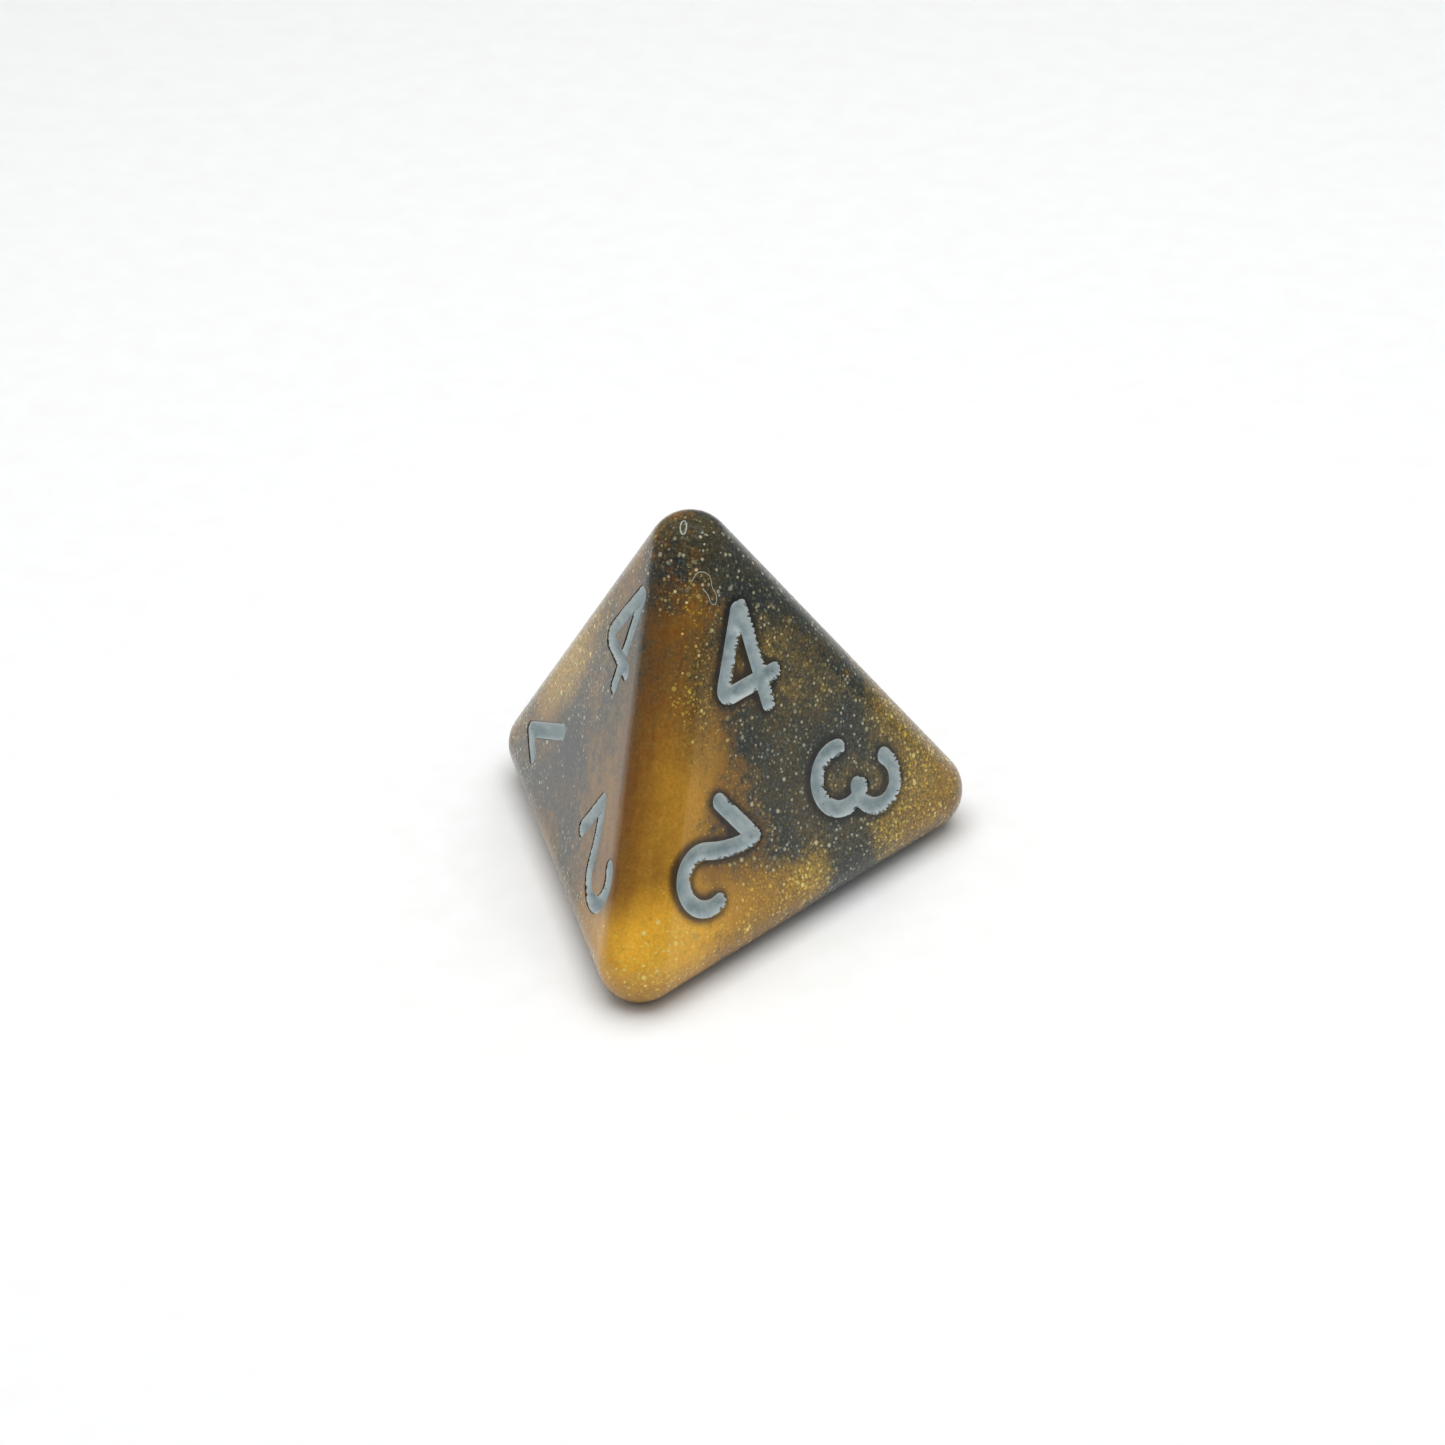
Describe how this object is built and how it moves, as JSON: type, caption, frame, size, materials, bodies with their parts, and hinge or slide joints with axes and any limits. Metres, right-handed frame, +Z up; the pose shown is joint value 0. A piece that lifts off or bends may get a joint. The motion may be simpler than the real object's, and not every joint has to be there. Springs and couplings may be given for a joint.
{
  "type": "polyhedral die",
  "caption": "four-sided gaming die: swirled pearl resin tetrahedron with rounded edges and a painted figure engraved at every corner of each face",
  "frame": {"origin": "middle of the face that the die rests on (the face with the figures 1, 2 and 3)", "axes": "+Z up to the corner numbered 4; -Y towards the corner numbered 2; the corner numbered 3 lies towards +X and the corner numbered 1 towards -X"},
  "size_m": [0.02, 0.0177, 0.0169],
  "materials": {
    "resin": "polished cast resin, amber gold swirled with smoky grey, with fine gold and silver glitter",
    "figure_paint": "satin pale blue-grey silver paint filling the engraved figures"
  },
  "bodies": {
    "root": {"resin_body": "resin", "inlay_bottom_1": "figure_paint", "inlay_bottom_2": "figure_paint", "inlay_bottom_3": "figure_paint", "inlay_right_2": "figure_paint", "inlay_right_3": "figure_paint", "inlay_right_4": "figure_paint", "inlay_left_1": "figure_paint", "inlay_left_2": "figure_paint", "inlay_left_4": "figure_paint", "inlay_back_1": "figure_paint", "inlay_back_3": "figure_paint", "inlay_back_4": "figure_paint"}
  },
  "joints": []
}
